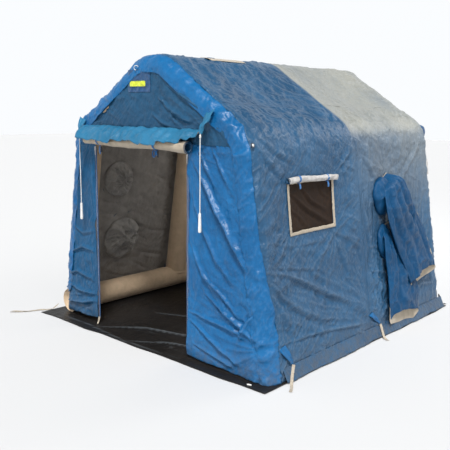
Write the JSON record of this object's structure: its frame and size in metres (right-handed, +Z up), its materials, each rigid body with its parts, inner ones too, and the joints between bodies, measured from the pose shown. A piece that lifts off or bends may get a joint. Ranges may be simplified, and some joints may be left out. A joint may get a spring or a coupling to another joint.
{
  "type": "inflatable shelter",
  "caption": "Air-beam shelter: ridge-roofed blue fabric cabin on inflated arches, with a roll-up zipped doorway, mesh windows, duct sleeves and a ground sheet",
  "frame": {"origin": "on the ground, under the middle of the cabin", "axes": "+X to the right seen from the doorway, +Y from the doorway to the rear wall, +Z up"},
  "size_m": [3.3333, 3.6167, 2.6175],
  "materials": {
    "beam_fabric": "coated beam fabric, satin",
    "bright_skin": "coated nylon, bright blue, glossy",
    "blue_skin": "coated nylon, blue, glossy and creased",
    "faded_skin": "coated nylon, sun-faded grey blue",
    "lining": "beige coated lining",
    "window_mesh": "dark brown insect mesh",
    "blue_webbing": "blue webbing",
    "tan_webbing": "tan webbing",
    "black_webbing": "black webbing",
    "floor_rubber": "black coated ground sheet",
    "zip_tape": "zip tape and teeth, dark blue",
    "zip_metal": "worn zip slider",
    "white_plastic": "white moulded plastic",
    "white_cord": "white braided cord",
    "dark_plastic": "dark moulded plastic",
    "patch_blue": "dark blue sewn patch",
    "label_yellow": "fluorescent yellow label, blank"
  },
  "bodies": {
    "shelter": {"cord_tabs": "blue_webbing", "corner_toggle": "white_plastic", "door_hood": "bright_skin", "door_roll": "lining", "door_ties": "blue_webbing", "front_arch_beam": "beam_fabric", "front_arch_cover": "bright_skin", "front_gable": "bright_skin", "front_left_panel": "bright_skin", "front_left_strap": "tan_webbing", "front_right_panel": "bright_skin", "gable_label": "label_yellow", "gable_loop": "white_cord", "gable_patch": "patch_blue", "ground_sheet": "floor_rubber", "left_base_beam": "beam_fabric", "left_eave_beams": "beam_fabric", "left_front_cover": "blue_skin", "left_lower_sleeve": "bright_skin", "left_rear_cover": "faded_skin", "left_upper_sleeve": "bright_skin", "left_window_flap": "lining", "left_window_mesh": "window_mesh", "left_window_trim": "lining", "left_zip_chain": "zip_tape", "middle_arch_beam": "beam_fabric", "middle_straps": "tan_webbing", "port_rings": "lining", "rear_arch_beam": "beam_fabric", "rear_base_beam": "beam_fabric", "rear_skirt": "blue_skin", "rear_straps": "black_webbing", "rear_wall": "faded_skin", "ridge_beams": "beam_fabric", "ridge_cover": "blue_skin", "ridge_patch": "lining", "right_base_beam": "beam_fabric", "right_eave_beams": "beam_fabric", "right_front_cover": "blue_skin", "right_front_strap": "tan_webbing", "right_lower_sleeve": "bright_skin", "right_rear_cover": "faded_skin", "right_upper_sleeve": "bright_skin", "right_window_flap": "lining", "right_window_mesh": "window_mesh", "right_window_trim": "lining", "right_zip_chain": "zip_tape", "side_skirts": "blue_skin", "strap_tabs": "blue_webbing", "tie_toggles": "dark_plastic", "valve_ring": "white_plastic", "window_ties": "blue_webbing", "zip_tail": "white_cord"},
    "left_zip_pull": {"left_zip_slider": "zip_metal"},
    "right_zip_pull": {"right_zip_slider": "zip_metal"},
    "left_pull": {"left_pull_cord": "white_cord", "left_pull_handle": "white_plastic"},
    "right_pull": {"right_pull_cord": "white_cord", "right_pull_handle": "white_plastic"},
    "valve_plug": {"valve_cap": "dark_plastic"}
  },
  "joints": [
    {"name": "left_zip_slide", "type": "slide", "parent": "shelter", "child": "left_zip_pull", "axis": [0, 0, 1], "range_m": [-1.61, 0]},
    {"name": "right_zip_slide", "type": "slide", "parent": "shelter", "child": "right_zip_pull", "axis": [0, 0, 1], "range_m": [-1.61, 0]},
    {"name": "left_pull_swing", "type": "hinge", "parent": "shelter", "child": "left_pull", "pos_m": [-0.936, -1.587, 1.925], "axis": [1, 0, 0], "range_deg": [-70, 2]},
    {"name": "right_pull_swing", "type": "hinge", "parent": "shelter", "child": "right_pull", "pos_m": [0.74, -1.612, 1.958], "axis": [1, 0, 0], "range_deg": [-70, 3]},
    {"name": "valve_turn", "type": "hinge", "parent": "shelter", "child": "valve_plug", "pos_m": [1.15139, -1.455, 1.88], "axis": [0.9365, 0, 0.3508], "range_deg": [0, 90]}
  ]
}
